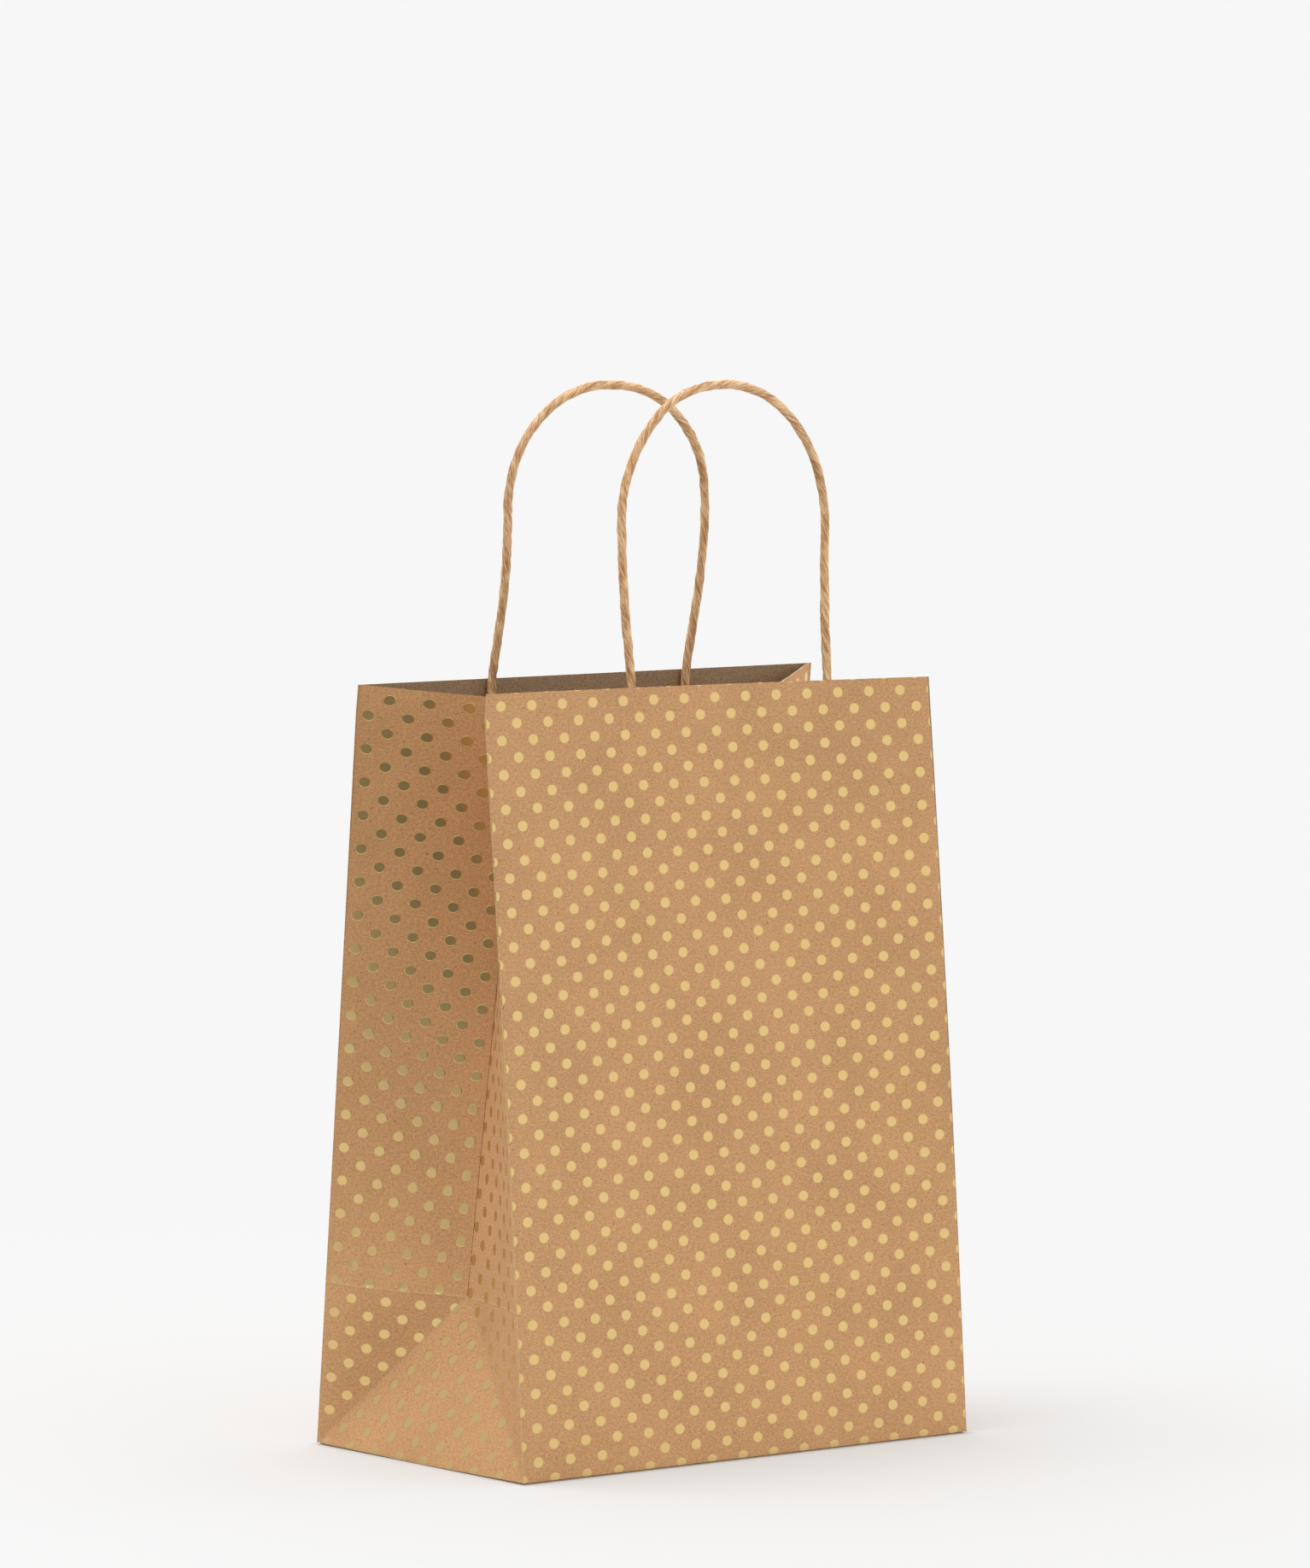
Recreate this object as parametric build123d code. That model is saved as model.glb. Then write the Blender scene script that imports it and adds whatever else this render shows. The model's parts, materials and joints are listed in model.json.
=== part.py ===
"""Paper gift bag with gusseted sides and two twisted paper handles.

Millimetres, +Z up. The origin is the middle of the bottom, on the surface that the bag stands on.
The front panel faces -Y. The bag stands half open: its front and back panels lean towards each other,
so each side gusset folds inwards along its middle crease.
"""
from build123d import *
import os
from math import acos, cos, degrees, pi, radians, sin, sqrt

# ---- driving dimensions -------------------------------------------------------------------------
BAG_WIDTH = 180.0            # front panel, side to side
BAG_DEPTH = 104.0            # bottom, front to back
BAG_HEIGHT = 240.0           # panel, measured up the paper
PAPER = 0.2                  # kraft paper thickness
PANEL_LEAN = 5.3             # degrees that each panel leans inwards as the bag stands

CORD_DIAMETER = 2.8          # twisted paper cord
LEG_SPACING = 79.0           # centre to centre of a handle's two legs
HANDLE_RISE = 93.0           # centre line of the arch above the rim
FRONT_HANDLE_SHIFT = 8.5     # the front handle is glued a little off the middle
BACK_HANDLE_SHIFT = 0.0
FRONT_HANDLE_LEAN = 3.0      # degrees inwards from upright
BACK_HANDLE_LEAN = 6.0

PATCH_WIDTH = 120.0          # paper patch that glues the cord's ends inside a panel
PATCH_HEIGHT = 38.0
PATCH_BELOW_RIM = 8.0        # deep enough not to show over the rim
PATCH_LIP = 1.6              # width of the paper that wraps each side of a cord
CORD_END_SHORT = 3.0         # the cord's ends stop this far above the patch's lower edge

FLAP_OVERLAP = 28.0          # how far the two long bottom flaps overlap
TUCK_REACH = 42.0            # how far each side tuck reaches in from the side
SEAM_WIDTH = 16.0            # glued flap that closes the tube of the bag, inside the back panel

# ---- clearances at the folds, so that pieces on different bodies never overlap ------------------
HINGE_GAP = 0.3              # a panel's edge to its fold line
RIM_CLEARANCE = 0.4          # a swinging handle's round end above the rim
GUSSET_GAP = 1.8             # a gusset's outer edge to its fold line, for the closed angle
GUSSET_FOOT_GAP = 0.5        # a gusset's lower edge to the slanted crease
CREASE_GAP_TOP = 0.9         # half of the gap at the gusset's middle crease, at the rim
CREASE_GAP_LOW = 2.4         # the same at the crease's lower end, where the stiff model opens widest
FLAP_GAP = 0.9               # a bottom flap's edge to the fold line around it
GLUE_GAP = 0.02              # between a cord and the patch that wraps it
SEAM_START = 3.0             # seam flap's first edge to the corner fold line

# ---- folded shape ----------------------------------------------------------------------------------
LEAN = radians(PANEL_LEAN)
HALF_WIDTH = BAG_WIDTH / 2
HALF_DEPTH = BAG_DEPTH / 2
CORD_RADIUS = CORD_DIAMETER / 2
CORD_OFFSET = 2 * PAPER + CORD_RADIUS            # panel's outer face to the cord's centre line
PIVOT_RISE = CORD_RADIUS + RIM_CLEARANCE         # handle's pivot above the rim
TRIANGLE_LEAN = acos((1 - sin(LEAN)) / cos(LEAN))    # slanted creases of both panels meet at this lean


def circles_meet(x1, z1, r1, x2, z2, r2):
    """The meeting point, on the right of the way from 1 to 2, of two circles in the XZ plane."""
    dx = x2 - x1
    dz = z2 - z1
    gap = sqrt(dx * dx + dz * dz)
    along = (r1 * r1 - r2 * r2 + gap * gap) / (2 * gap)
    across = sqrt(r1 * r1 - along * along)
    return x1 + (along * dx + across * dz) / gap, z1 + (along * dz - across * dx) / gap


def left_front_fold_points():
    """Corners of the left gusset's front half: bottom corner, rim corner, rim middle, apex."""
    foot = Vector(-HALF_WIDTH, -HALF_DEPTH, 0)
    rim = foot + Vector(0, sin(LEAN), cos(LEAN)) * BAG_HEIGHT
    apex = Vector(-HALF_WIDTH + HALF_DEPTH * sin(TRIANGLE_LEAN), 0, HALF_DEPTH * cos(TRIANGLE_LEAN))
    reach = sqrt(HALF_DEPTH ** 2 - rim.Y ** 2)
    crease = BAG_HEIGHT - HALF_DEPTH
    x, z = circles_meet(apex.X, apex.Z, crease, rim.X, rim.Z, reach)
    return foot, rim, Vector(x, 0, z), apex


FOOT, RIM, RIM_MIDDLE, APEX = left_front_fold_points()

# A panel's own frame: X along its width, Y up the paper, Z out of the bag. The back is its mirror image.
FRONT_WALL = Plane(origin=(0, -HALF_DEPTH, 0), x_dir=(1, 0, 0), z_dir=(0, -cos(LEAN), sin(LEAN)))


# ---- panels and what is glued to them --------------------------------------------------------------
def panel():
    width = BAG_WIDTH - 2 * HINGE_GAP
    height = BAG_HEIGHT - HINGE_GAP
    return FRONT_WALL * Pos(0, HINGE_GAP + height / 2, -PAPER / 2) * Box(width, height, PAPER)


def patch_top():
    return BAG_HEIGHT - PATCH_BELOW_RIM


def patch_outer(shift):
    """The patch's layer that is glued to the panel."""
    middle = patch_top() - PATCH_HEIGHT / 2
    return FRONT_WALL * Pos(shift, middle, -1.5 * PAPER) * Box(PATCH_WIDTH, PATCH_HEIGHT, PAPER)


def leg_places(shift):
    return [shift - LEG_SPACING / 2, shift + LEG_SPACING / 2]


def patch_inner(shift):
    """The patch's cover: flat between the cords, and wrapped over each of them."""
    wrap = CORD_RADIUS + GLUE_GAP
    sheet = Pos(shift, -2.5 * PAPER) * Rectangle(PATCH_WIDTH, PAPER)
    for x in leg_places(shift):
        sheet += Pos(x, -CORD_OFFSET) * Circle(wrap + PAPER)
        sheet += Pos(x, -2 * PAPER - wrap / 2) * Rectangle(2 * (wrap + PATCH_LIP), wrap)
    for x in leg_places(shift):
        sheet -= Pos(x, -CORD_OFFSET) * Circle(wrap)
        sheet -= Pos(x, -2 * PAPER - wrap / 2) * Rectangle(2 * wrap, wrap)
    sheet -= Pos(shift, 0) * Rectangle(PATCH_WIDTH, 4 * PAPER)
    top_edge = Plane(origin=(0, patch_top(), 0), x_dir=(1, 0, 0), z_dir=(0, -1, 0))
    return FRONT_WALL * extrude(top_edge * sheet, PATCH_HEIGHT)


def handle_ends(shift):
    """The cord's two glued ends, between the patch's layers, up to the handle's pivot."""
    low = patch_top() - PATCH_HEIGHT + CORD_END_SHORT
    high = BAG_HEIGHT + PIVOT_RISE - CORD_RADIUS - HINGE_GAP
    legs = []
    for x in leg_places(shift):
        place = FRONT_WALL * Pos(x, (low + high) / 2, -CORD_OFFSET) * Rot(90, 0, 0)
        leg = place * Cylinder(CORD_RADIUS, high - low)
        legs.append(leg.solid())
    return Compound(children=legs)


def seam_flap():
    """Glued flap inside the panel's left edge."""
    height = BAG_HEIGHT - 2 * SEAM_START
    place = Pos(-HALF_WIDTH + SEAM_START + SEAM_WIDTH / 2, SEAM_START + height / 2, -1.5 * PAPER)
    return FRONT_WALL * place * Box(SEAM_WIDTH, height, PAPER)


# ---- handles ---------------------------------------------------------------------------------------
def pivot_point():
    return FRONT_WALL.from_local_coords(Vector(0, BAG_HEIGHT + PIVOT_RISE, -CORD_OFFSET))


def handle(shift, lean):
    """The free arch of twisted cord: two straight legs and a half circle, with round ends at the pivot."""
    tilt = radians(lean)
    pivot = pivot_point()
    arch_radius = LEG_SPACING / 2
    leg = HANDLE_RISE - PIVOT_RISE - arch_radius
    plane = Plane(origin=(shift, pivot.Y, pivot.Z), x_dir=(1, 0, 0), z_dir=(0, -cos(tilt), sin(tilt)))
    left_leg = Line((-arch_radius, 0), (-arch_radius, leg))
    arch = ThreePointArc((-arch_radius, leg), (0, leg + arch_radius), (arch_radius, leg))
    right_leg = Line((arch_radius, leg), (arch_radius, 0))
    section = Plane(origin=(-arch_radius, 0, 0), x_dir=(1, 0, 0), z_dir=(0, 1, 0)) * Circle(CORD_RADIUS)
    cord = sweep(section, path=left_leg + arch + right_leg)
    for x in (-arch_radius, arch_radius):
        cord += Pos(x, 0, 0) * Sphere(CORD_RADIUS)
    return plane * cord


# ---- gussets ---------------------------------------------------------------------------------------
def strip_section(start, end, normal):
    """A thin rectangle, PAPER thick on the side that normal points to."""
    thick = normal.normalized() * PAPER
    return Wire.make_polygon([start, end, end + thick, start + thick], close=True)


def gusset_half():
    """The left gusset's front half: a twisted sheet between the slanted crease and the rim."""
    edge = (RIM - FOOT).normalized()
    crease = APEX - FOOT
    rim = RIM_MIDDLE - RIM
    lift = edge * GUSSET_FOOT_GAP * sqrt(2)
    low_start = FOOT + crease * (GUSSET_GAP / HALF_DEPTH) + lift
    low_end = FOOT + crease * (1 - CREASE_GAP_LOW / HALF_DEPTH) + lift
    top_start = RIM + rim * (GUSSET_GAP / HALF_DEPTH)
    top_end = RIM + rim * (1 - CREASE_GAP_TOP / -RIM.Y)
    low = strip_section(low_start, low_end, edge.cross(crease))
    top = strip_section(top_start, top_end, edge.cross(rim))
    return Solid.make_loft([low, top], ruled=True)


def base_triangle():
    """The left gusset's foot: the triangle below the two slanted creases, leaning inwards."""
    low = FLAP_GAP
    inset = GUSSET_FOOT_GAP * sqrt(2)
    half = HALF_DEPTH - low - inset
    up = HALF_DEPTH - inset
    outline = Polyline((-half, low), (half, low), (0, up), close=True)
    wall = Plane(origin=(-HALF_WIDTH, 0, 0), x_dir=(0, -1, 0),
                 z_dir=(-cos(TRIANGLE_LEAN), 0, sin(TRIANGLE_LEAN)))
    return wall * extrude(make_face(outline), -PAPER)


# ---- bottom ----------------------------------------------------------------------------------------
def bottom_flap(layer):
    """A long flap folded under from the front panel, lying in the given layer of the bottom."""
    start = -HALF_DEPTH + FLAP_GAP
    end = FLAP_OVERLAP / 2
    place = Pos(0, (start + end) / 2, (layer + 0.5) * PAPER)
    return place * Box(BAG_WIDTH - 2 * FLAP_GAP, end - start, PAPER)


def bottom_tuck(layer):
    """The left side's tuck, folded in first: a flap whose corners are cut at 45 degrees."""
    start = -HALF_WIDTH + FLAP_GAP
    end = -HALF_WIDTH + TUCK_REACH
    half = HALF_DEPTH - FLAP_GAP
    slope = half - (TUCK_REACH - FLAP_GAP) / 2
    outline = Polyline((start, -half), (end, -slope), (end, slope), (start, half), close=True)
    return Pos(0, 0, layer * PAPER) * extrude(make_face(outline), PAPER)


# ---- the assembly ----------------------------------------------------------------------------------
def to_back(shape):
    return mirror(shape, about=Plane.XZ)


def to_right(shape):
    return mirror(shape, about=Plane.YZ)


def make_nodes():
    half = gusset_half()
    triangle = base_triangle()
    tuck = bottom_tuck(2)
    return {
        "front_panel": panel(),
        "back_panel": to_back(panel()),
        "left_gusset_front": half,
        "left_gusset_rear": to_back(half),
        "right_gusset_front": to_right(half),
        "right_gusset_rear": to_right(to_back(half)),
        "left_base_triangle": triangle,
        "right_base_triangle": to_right(triangle),
        "front_bottom_flap": bottom_flap(0),
        "back_bottom_flap": to_back(bottom_flap(1)),
        "left_bottom_tuck": tuck,
        "right_bottom_tuck": to_right(tuck),
        "side_seam_flap": to_back(seam_flap()),
        "front_patch_outer": patch_outer(FRONT_HANDLE_SHIFT),
        "front_patch_inner": patch_inner(FRONT_HANDLE_SHIFT),
        "front_handle_ends": handle_ends(FRONT_HANDLE_SHIFT),
        "front_handle": handle(FRONT_HANDLE_SHIFT, FRONT_HANDLE_LEAN),
        "back_patch_outer": to_back(patch_outer(BACK_HANDLE_SHIFT)),
        "back_patch_inner": to_back(patch_inner(BACK_HANDLE_SHIFT)),
        "back_handle_ends": to_back(handle_ends(BACK_HANDLE_SHIFT)),
        "back_handle": to_back(handle(BACK_HANDLE_SHIFT, BACK_HANDLE_LEAN)),
    }


def print_sizes(nodes):
    """The sizes that the moving joints are set from, and each handle cord's volume against its length."""
    straight = 2 * (HANDLE_RISE - PIVOT_RISE - LEG_SPACING / 2)
    length = straight + pi * LEG_SPACING / 2
    ends = 4 / 3 * pi * CORD_RADIUS ** 3
    expected = pi * CORD_RADIUS ** 2 * length + ends
    pivot = pivot_point()
    print(f"cord length {length:.1f}, volume {nodes['front_handle'].volume:.1f}, expected {expected:.1f}")
    print(f"handle pivot y {pivot.Y:.2f} z {pivot.Z:.2f}, triangle lean {degrees(TRIANGLE_LEAN):.2f}")
    print(f"rim corner y {RIM.Y:.2f} z {RIM.Z:.2f}, rim middle x {RIM_MIDDLE.X:.2f} z {RIM_MIDDLE.Z:.2f}")
    print(f"apex x {APEX.X:.2f} z {APEX.Z:.2f}")


def main():
    os.makedirs("parts", exist_ok=True)
    nodes = make_nodes()
    for name, shape in nodes.items():
        export_step(shape, f"parts/{name}.step")
    print_sizes(nodes)


main()
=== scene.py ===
"""A kraft paper gift bag with gold foil dots and two twisted paper handles, on a pale studio floor.

Metres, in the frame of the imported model: +Z up, the front panel faces -Y. Every sheet of the bag is one
region of a single printed sheet of paper, so each has a UV map in that flat sheet's own metres.
"""
import json
import math

import bmesh
import bpy
import numpy as np
from mathutils import Matrix, Vector


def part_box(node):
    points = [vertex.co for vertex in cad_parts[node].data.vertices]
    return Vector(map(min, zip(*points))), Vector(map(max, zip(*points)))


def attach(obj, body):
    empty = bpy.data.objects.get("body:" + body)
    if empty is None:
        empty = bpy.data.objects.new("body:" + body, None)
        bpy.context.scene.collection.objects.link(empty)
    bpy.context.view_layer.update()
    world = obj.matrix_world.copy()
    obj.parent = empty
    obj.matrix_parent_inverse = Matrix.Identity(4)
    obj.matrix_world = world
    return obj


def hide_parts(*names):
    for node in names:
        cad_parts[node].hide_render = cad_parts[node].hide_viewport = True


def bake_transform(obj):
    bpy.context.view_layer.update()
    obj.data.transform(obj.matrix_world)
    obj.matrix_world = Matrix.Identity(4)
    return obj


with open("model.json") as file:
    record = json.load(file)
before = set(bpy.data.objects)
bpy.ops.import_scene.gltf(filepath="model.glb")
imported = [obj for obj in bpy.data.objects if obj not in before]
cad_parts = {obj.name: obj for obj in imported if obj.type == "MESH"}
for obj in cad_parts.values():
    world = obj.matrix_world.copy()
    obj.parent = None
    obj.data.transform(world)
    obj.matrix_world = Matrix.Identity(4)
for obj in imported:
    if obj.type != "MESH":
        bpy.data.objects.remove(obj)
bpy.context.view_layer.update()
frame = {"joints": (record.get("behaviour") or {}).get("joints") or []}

# ---- sizes read from the frame ------------------------------------------------------------------
JOINTS = {joint["name"]: joint for joint in frame["joints"]}
HALF_DEPTH = -JOINTS["front_fold"]["pos_m"][1]
HALF_WIDTH = -JOINTS["left_gusset_front_fold"]["pos_m"][0]
LEAN = math.atan2(-JOINTS["left_gusset_rear_fold"]["axis"][1], JOINTS["left_gusset_rear_fold"]["axis"][2])
RIM_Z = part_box("front_panel")[1][2]
HEIGHT = RIM_Z / math.cos(LEAN)
WIDTH = 2 * HALF_WIDTH
DEPTH = 2 * HALF_DEPTH
PIVOT_Y = JOINTS["back_handle_swing"]["pos_m"][1]
PIVOT_Z = JOINTS["back_handle_swing"]["pos_m"][2]
TRIANGLE_LEAN = math.acos((1 - math.sin(LEAN)) / math.cos(LEAN))

# ---- paper, print and cord ------------------------------------------------------------------------
MM = 0.001
PAPER = 0.25 * MM                           # a little thicker than in the CAD
GLUE_GAP = 0.02 * MM                        # between sheets that are glued together
CREASE_RADIUS = 1.1 * MM                    # how far from its line a fold rounds the paper
CREASE_DEPTH = 0.25 * MM
DOT_PITCH = (12.45 * MM, 10.44 * MM)        # across and up, to the next dot of a row or column
DOT_RADIUS = (1.98 * MM, 1.68 * MM)
DOT_ORIGIN = (93.2 * MM, 121.2 * MM)        # middle of one dot, in the flat sheet
CORD_RADIUS = 1.4 * MM
CORD_OFFSET = 0.4 * MM + CORD_RADIUS        # cord's centre line to the panel's outer face
TWIST_PITCH = 21 * MM
GLUED_LENGTH = 42 * MM                      # cord below the rim, at each leg
PATCH_WIDTH = 120 * MM
PATCH_HEIGHT = 38 * MM
PATCH_BELOW_RIM = 8 * MM
PATCH_TOP = HEIGHT - PATCH_BELOW_RIM

# ---- how this bag has settled out of true -----------------------------------------------------------
BACK_SLIP = 3.4 * MM                        # back panel's rim, towards the left
BACK_RIM_IN_LEFT = 1.0 * MM
BACK_RIM_IN_RIGHT = 6.1 * MM
BACK_RIM_LIFT = 1.9 * MM
FRONT_HOLLOW = 3.2 * MM                     # front panel's middle, inwards
HOLLOW_START = 100 * MM
FRONT_BOW = 1.0 * MM
FRONT_CORNER_OUT = 0.85 * MM
GUSSET_BULGE = 1.8 * MM                     # rear half's middle, outwards
CREASE_ROOM = 0.2 * MM                      # keeps the rear half's crease off the front half's
CREASE_PUSH = 3.2 * MM                      # crease at half depth, outwards
CREASE_REACH = 48 * MM
FOOT_LIFT = 0.45 * MM                       # lowest edge above the floor
FOOT_LIFT_REACH = 4 * MM
CORNER_BEND = 8 * MM
CORNER_BEND_SLOPE = 0.10
RIM_PINCH = 1.1 * MM                        # left edges, outwards below the rim
RIM_PINCH_REACH = 8 * MM
PINCH_AT_FOOT = 0.35                        # share of the pinch that is left at the foot
PINCH_FADE = (40 * MM, 200 * MM)            # height where that share begins to grow, and over how much
APEX_LIFT = 3.0 * MM
APEX_OUT = 2.0 * MM


def smooth(t):
    t = np.clip(t, 0, 1)
    return t * t * (3 - 2 * t)


def settle(points):
    """Moves points of the squared-up bag to where this bag's paper has settled."""
    x, y, z = points.T
    up = np.clip(z / RIM_Z, 0, 1)
    across = np.clip((x / HALF_WIDTH + 1) / 2, 0, 1)
    half_gap = HALF_DEPTH - np.clip(z, 0, RIM_Z) * math.tan(LEAN)
    rear = smooth(y / half_gap) * up
    front = smooth(-y / half_gap)
    slip_y = BACK_RIM_IN_LEFT + (BACK_RIM_IN_RIGHT - BACK_RIM_IN_LEFT) * across
    hollow = FRONT_HOLLOW * 4 * across * (1 - across) * smooth(z / HOLLOW_START)
    bow = FRONT_BOW * np.sin(math.pi * up) + FRONT_CORNER_OUT * up * (1 - across)
    left = np.clip(-x / HALF_WIDTH, 0, 1) ** 6
    below_rim = np.clip((RIM_Z - z) / RIM_PINCH_REACH, 0, 1)
    grown = smooth((z - PINCH_FADE[0]) / PINCH_FADE[1])
    spread = below_rim * (PINCH_AT_FOOT + (1 - PINCH_AT_FOOT) * grown)
    moved = points.copy()
    moved[:, 0] += -BACK_SLIP * rear - RIM_PINCH * spread * left * (front + 0.3 * rear)
    moved[:, 1] += -slip_y * rear - (bow - hollow) * front
    at_edge = np.maximum(np.abs(x) / HALF_WIDTH, np.abs(y) / HALF_DEPTH) ** 20
    foot = FOOT_LIFT * np.clip(1 - z / FOOT_LIFT_REACH, 0, 1) ** 2 * at_edge
    moved[:, 2] += BACK_RIM_LIFT * across * rear + foot
    return moved


# ---- the folded shape: corners and fold lines --------------------------------------------------------
def circles_meet(x1, z1, r1, x2, z2, r2):
    """The meeting point, on the right of the way from 1 to 2, of two circles in the XZ plane."""
    gap = math.hypot(x2 - x1, z2 - z1)
    along = (r1 * r1 - r2 * r2 + gap * gap) / (2 * gap)
    across = math.sqrt(r1 * r1 - along * along)
    ux, uz = (x2 - x1) / gap, (z2 - z1) / gap
    return x1 + along * ux + across * uz, z1 + along * uz - across * ux


FOOT = np.array([-HALF_WIDTH, -HALF_DEPTH, 0])
WALL_UP = np.array([0, math.sin(LEAN), math.cos(LEAN)])
WALL_OUT = np.array([0, -math.cos(LEAN), math.sin(LEAN)])
RIM = FOOT + WALL_UP * HEIGHT
APEX = np.array([-HALF_WIDTH + HALF_DEPTH * math.sin(TRIANGLE_LEAN), 0, HALF_DEPTH * math.cos(TRIANGLE_LEAN)])
RIM_REACH = math.sqrt(HALF_DEPTH ** 2 - RIM[1] ** 2)
MIDDLE_X, MIDDLE_Z = circles_meet(APEX[0], APEX[2], HEIGHT - HALF_DEPTH, RIM[0], RIM[2], RIM_REACH)
RIM_MIDDLE = np.array([MIDDLE_X, 0, MIDDLE_Z])
LIFTED_APEX = APEX + np.array([-APEX_OUT, 0, APEX_LIFT])


def mirror_points(points, side, face):
    """Points built for the left side or the front, at the side and face asked for."""
    flip = np.array([1 if side == "left" else -1, 1 if face == "front" else -1, 1])
    return points * flip


# ---- meshes -----------------------------------------------------------------------------------------
def steps(count, ends=0.45):
    """Numbers from 0 to 1, closer together near both ends."""
    t = np.linspace(0, 1, count + 1)
    return (1 - ends) * t + ends * (0.5 - 0.5 * np.cos(math.pi * t))


def grid_normals(points, rows, columns):
    shape = points.reshape(rows, columns, 3)
    along = np.gradient(shape, axis=1)
    up = np.gradient(shape, axis=0)
    normals = np.cross(along, up).reshape(-1, 3)
    size = np.linalg.norm(normals, axis=1)
    worst = size < 1e-12
    normals[worst] = normals[~worst].mean(axis=0)
    return normals / np.linalg.norm(normals, axis=1)[:, None]


def grid_faces(rows, columns):
    index = np.arange(rows * columns).reshape(rows, columns)
    quads = np.stack([index[:-1, :-1], index[:-1, 1:], index[1:, 1:], index[1:, :-1]], axis=-1)
    return quads.reshape(-1, 4)


def border_loop(rows, columns):
    index = np.arange(rows * columns).reshape(rows, columns)
    return np.concatenate([index[0, :-1], index[:-1, -1], index[-1, :0:-1], index[:0:-1, 0]])


def add_object(name, mesh):
    piece = bpy.data.objects.new(name, mesh)
    bpy.context.scene.collection.objects.link(piece)
    return piece


def clean_mesh(mesh):
    """Joins the points that fell together, so that no face is left without an area."""
    work = bmesh.new()
    work.from_mesh(mesh)
    bmesh.ops.remove_doubles(work, verts=work.verts, dist=1e-6)
    bmesh.ops.dissolve_degenerate(work, edges=work.edges, dist=1e-7)
    work.to_mesh(mesh)
    work.free()


def paper_sheet(name, outside, flat, outward, rows, columns, materials, cut="top"):
    """A closed sheet of paper: outside is its outer face as a grid, flat the same points' place in the
    unfolded sheet, and outward the side that the print is on. cut says which border is a cut edge:
    the top row's, all of it or none, where the rest is a fold."""
    normals = grid_normals(outside, rows, columns)
    faces = grid_faces(rows, columns)
    loop = border_loop(rows, columns)
    if (normals.mean(axis=0) @ np.array(outward)) < 0:
        normals = -normals
        faces = faces[:, ::-1]
        loop = loop[::-1]
    count = len(outside)
    points = np.concatenate([outside, outside - normals * PAPER])
    following = np.roll(loop, -1)
    edge = np.stack([following, loop, loop + count, following + count], axis=-1)
    everything = np.concatenate([faces, faces[:, ::-1] + count, edge])
    mesh = bpy.data.meshes.new(name)
    mesh.from_pydata(points.tolist(), [], everything.tolist())
    layer = mesh.uv_layers.new(name="paper")
    corners = np.empty(len(mesh.loops), dtype=np.int32)
    mesh.loops.foreach_get("vertex_index", corners)
    layer.data.foreach_set("uv", np.tile(flat, (2, 1))[corners].astype(np.float32).ravel())
    kinds = np.zeros(len(everything), dtype=np.int32)
    kinds[len(faces):] = 1
    top_row = (rows - 1) * columns
    at_top = (loop >= top_row) & (following >= top_row)
    is_cut = {"top": at_top, "all": np.ones_like(at_top), "none": np.zeros_like(at_top)}[cut]
    kinds[2 * len(faces):] = np.where(is_cut, 2, 0)
    mesh.polygons.foreach_set("material_index", kinds)
    for material in materials:
        mesh.materials.append(material)
    clean_mesh(mesh)
    mesh.shade_smooth()
    mesh.set_sharp_from_angle(angle=math.radians(50))
    return add_object(name, mesh)


def ripple(flat, seed, size):
    """Slow unevenness of handled paper, at places given in the flat sheet."""
    random = np.random.default_rng(seed)
    total = np.zeros(len(flat))
    for wave in random.uniform(25, 110, 7):
        angle = random.uniform(0, math.pi)
        phase = random.uniform(0, 2 * math.pi)
        total += np.sin(wave * (flat @ [math.cos(angle), math.sin(angle)]) + phase) / (wave / 25)
    return total * size / 2.2


def fade_at_edges(a, b):
    return np.minimum(1, 8 * a * (1 - a)) * np.minimum(1, 8 * b * (1 - b))


PANEL_SEEDS = {"front": 3, "rear": 4}
PANEL_RIPPLE = 0.35 * MM


def panel_ripple(face, x, height):
    """How far a panel's paper stands out at a place across and up it."""
    across = x / WIDTH + 0.5
    s = across * WIDTH if face == "front" else 2 * WIDTH + DEPTH - across * WIDTH
    flat = np.stack([s, height], axis=-1)
    return ripple(flat, PANEL_SEEDS[face], PANEL_RIPPLE) * fade_at_edges(across, height / HEIGHT)


def rounded(distance):
    """How far a fold pulls the paper in, at a distance from its line."""
    return CREASE_DEPTH * np.clip(1 - distance / CREASE_RADIUS, 0, 1) ** 2


# ---- the paper's pieces -------------------------------------------------------------------------------
def grid(columns, rows):
    a, b = np.meshgrid(columns, rows)
    return a.ravel(), b.ravel()


def panel(face, materials):
    """The front or back panel."""
    across, up = steps(72), steps(96)
    a, b = grid(across, up)
    x = (2 * a - 1) * HALF_WIDTH
    outside = np.outer(x, [1, 0, 0]) + np.array([0, -HALF_DEPTH, 0]) + np.outer(b * HEIGHT, WALL_UP)
    side = np.minimum(a, 1 - a) * WIDTH
    pull = rounded(side)[:, None]
    inward = np.stack([-np.sign(x), np.ones_like(x), np.zeros_like(x)], axis=-1) / math.sqrt(2)
    outside += pull * inward
    outside += np.outer(rounded(b * HEIGHT), [0, 1, 1]) / math.sqrt(2)
    s = a * WIDTH if face == "front" else 2 * WIDTH + DEPTH - a * WIDTH
    flat = np.stack([s, b * HEIGHT], axis=-1)
    fold = np.exp(-((b * HEIGHT - HALF_DEPTH) / (1.2 * MM)) ** 2) * 0.10 * MM
    depth = panel_ripple(face, x, b * HEIGHT) + fold
    outside += depth[:, None] * WALL_OUT
    points = settle(mirror_points(outside, "left", face))
    outward = mirror_points(WALL_OUT[None], "left", face)[0]
    name = f"{face}_panel_paper"
    return paper_sheet(name, points, flat, outward, len(up), len(across), materials)


def gusset_flat(side, face, distance, height):
    """The place in the flat sheet of a point on a gusset, by its distance from the panel's fold."""
    if side == "left":
        s = -distance if face == "front" else -DEPTH + distance
    else:
        s = WIDTH + distance if face == "front" else WIDTH + DEPTH - distance
    return np.stack([s, height], axis=-1)


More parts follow.
